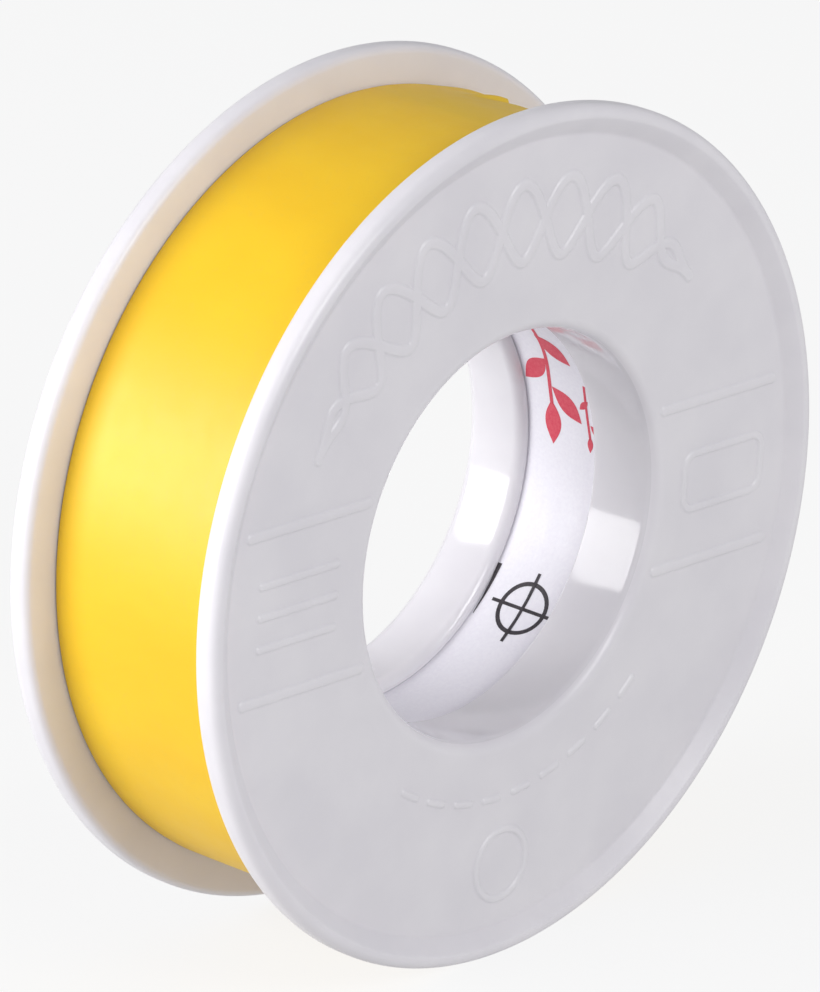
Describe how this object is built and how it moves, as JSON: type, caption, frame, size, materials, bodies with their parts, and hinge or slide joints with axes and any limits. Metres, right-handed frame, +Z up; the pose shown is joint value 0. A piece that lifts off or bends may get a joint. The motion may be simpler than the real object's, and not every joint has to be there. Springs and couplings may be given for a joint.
{
  "type": "electrical tape roll",
  "caption": "Roll of yellow electrical insulating tape on a white plastic spool: two rimmed side discs pushed into a cardboard core, with an open bore and a liftable free end.",
  "frame": {"origin": "middle of the roll, on the spool's axis, halfway between the crowns of the two rims", "axes": "+Y along the spool's axis from the front side disc to the rear one, +Z up with the roll standing on its two rims, the free end of the tape near the top towards +X"},
  "size_m": [0.0598, 0.019, 0.0598],
  "materials": {
    "flange_plastic": "injection-moulded white plastic, satin outside with a glossier collar, slightly translucent",
    "core_cardboard": "wound brown cardboard tube",
    "liner_paper": null,
    "tape_pvc": "satin yellow soft PVC tape"
  },
  "bodies": {
    "rear_side": {"rear_flange": "flange_plastic"},
    "roll": {"core_tube": "core_cardboard", "core_liner": "liner_paper", "wound_tape": "tape_pvc"},
    "front_side": {"front_flange": "flange_plastic"},
    "free_end": {"tape_end": "tape_pvc"}
  },
  "joints": [
    {"name": "roll_spin", "type": "hinge", "parent": "rear_side", "child": "roll", "pos_m": [0, 0, 0], "axis": [0, 1, 0], "continuous": true},
    {"name": "front_flange_pull", "type": "slide", "parent": "roll", "child": "front_side", "axis": [0, -1, 0], "range_m": [0, 0.012]},
    {"name": "tape_end_peel", "type": "hinge", "parent": "roll", "child": "free_end", "pos_m": [0.00391, 0, 0.02711], "axis": [0, -1, 0], "range_deg": [0, 95]}
  ]
}
